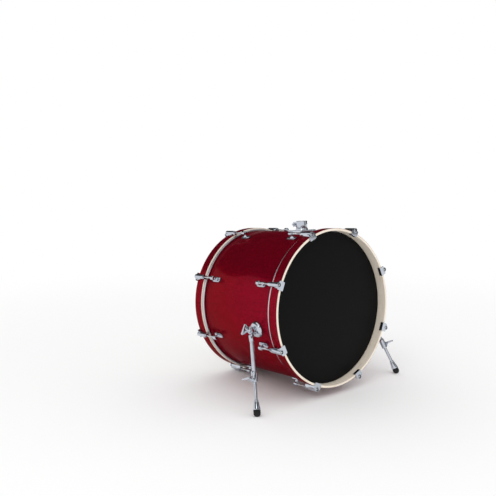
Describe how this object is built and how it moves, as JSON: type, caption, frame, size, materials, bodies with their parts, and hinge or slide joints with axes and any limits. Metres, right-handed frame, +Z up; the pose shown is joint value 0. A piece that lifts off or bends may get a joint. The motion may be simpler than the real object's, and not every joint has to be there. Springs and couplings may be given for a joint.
{
  "type": "bass drum",
  "caption": "Floor-standing bass drum with a wrapped wooden shell, claw-tensioned heads under wooden hoops, a tom mount and folding extendable spurs.",
  "frame": {"origin": "on the floor, under the middle of the drum", "axes": "+Z up, front head facing -Y and raised a little, +X to the right seen from the front"},
  "size_m": [0.7696, 0.519, 0.6271],
  "materials": {
    "red_wrap": "gloss red sparkle wrap over a maple ply shell",
    "maple": "satin maple, the hoop's outside wrapped to match the shell",
    "black_film": "plain black polyester film, satin",
    "white_film": "coated white polyester film, matt",
    "aluminium": "bare rolled aluminium",
    "chrome": "polished chrome plate",
    "rubber": "matt black rubber"
  },
  "bodies": {
    "drum": {"shell": "red_wrap", "front_hoop": "maple", "front_head_collar": "aluminium", "front_head_film": "black_film", "front_lug_1": "chrome", "front_lug_2": "chrome", "front_lug_3": "chrome", "front_lug_4": "chrome", "front_lug_5": "chrome", "front_lug_6": "chrome", "front_lug_7": "chrome", "front_lug_8": "chrome", "front_claw_1": "chrome", "front_claw_2": "chrome", "front_claw_3": "chrome", "front_claw_4": "chrome", "front_claw_5": "chrome", "front_claw_6": "chrome", "front_claw_7": "chrome", "front_claw_8": "chrome", "rear_hoop": "maple", "rear_head_collar": "aluminium", "rear_head_film": "white_film", "rear_lug_1": "chrome", "rear_lug_2": "chrome", "rear_lug_3": "chrome", "rear_lug_4": "chrome", "rear_lug_5": "chrome", "rear_lug_6": "chrome", "rear_lug_7": "chrome", "rear_lug_8": "chrome", "rear_claw_1": "chrome", "rear_claw_2": "chrome", "rear_claw_3": "chrome", "rear_claw_4": "chrome", "rear_claw_5": "chrome", "rear_claw_6": "chrome", "rear_claw_7": "chrome", "rear_claw_8": "chrome", "tom_mount_base": "chrome", "tom_mount_receiver": "chrome", "left_spur_bracket": "chrome", "right_spur_bracket": "chrome"},
    "tom_wing_bolt": {"tom_mount_wing_bolt": "chrome"},
    "left_leg": {"left_spur_leg": "chrome", "left_spur_clamp": "chrome"},
    "left_foot_rod": {"left_spur_rod": "chrome", "left_spur_tip": "rubber"},
    "left_lock_bolt": {"left_spur_lock_bolt": "chrome"},
    "left_clamp_screw": {"left_spur_clamp_screw": "chrome"},
    "right_leg": {"right_spur_leg": "chrome", "right_spur_clamp": "chrome"},
    "right_foot_rod": {"right_spur_rod": "chrome", "right_spur_tip": "rubber"},
    "right_lock_bolt": {"right_spur_lock_bolt": "chrome"},
    "right_clamp_screw": {"right_spur_clamp_screw": "chrome"}
  },
  "joints": [
    {"name": "tom_wing_bolt_turn", "type": "hinge", "parent": "drum", "child": "tom_wing_bolt", "pos_m": [0.01155, -0.02701, 0.61106], "axis": [1, 0, 0], "continuous": true},
    {"name": "left_spur_fold", "type": "hinge", "parent": "drum", "child": "left_leg", "pos_m": [-0.30254, -0.11977, 0.2607], "axis": [0.9681, -0.0153, -0.2499], "range_deg": [-15, 108]},
    {"name": "left_spur_extend", "type": "slide", "parent": "left_leg", "child": "left_foot_rod", "axis": [-0.2353, -0.3969, -0.8872], "range_m": [-0.058, 0.045]},
    {"name": "left_lock_bolt_turn", "type": "hinge", "parent": "drum", "child": "left_lock_bolt", "pos_m": [-0.30912, -0.11967, 0.2624], "axis": [-0.9681, 0.0153, 0.2499], "continuous": true},
    {"name": "left_clamp_screw_turn", "type": "hinge", "parent": "left_leg", "child": "left_clamp_screw", "pos_m": [-0.35347, -0.18707, 0.1127], "axis": [-0.9681, 0.0153, 0.2499], "continuous": true},
    {"name": "right_spur_fold", "type": "hinge", "parent": "drum", "child": "right_leg", "pos_m": [0.30254, -0.11977, 0.2607], "axis": [0.9681, 0.0153, 0.2499], "range_deg": [-15, 108]},
    {"name": "right_spur_extend", "type": "slide", "parent": "right_leg", "child": "right_foot_rod", "axis": [0.2353, -0.3969, -0.8872], "range_m": [-0.058, 0.045]},
    {"name": "right_lock_bolt_turn", "type": "hinge", "parent": "drum", "child": "right_lock_bolt", "pos_m": [0.30912, -0.11967, 0.2624], "axis": [0.9681, 0.0153, 0.2499], "continuous": true},
    {"name": "right_clamp_screw_turn", "type": "hinge", "parent": "right_leg", "child": "right_clamp_screw", "pos_m": [0.35347, -0.18707, 0.1127], "axis": [0.9681, 0.0153, 0.2499], "continuous": true}
  ]
}
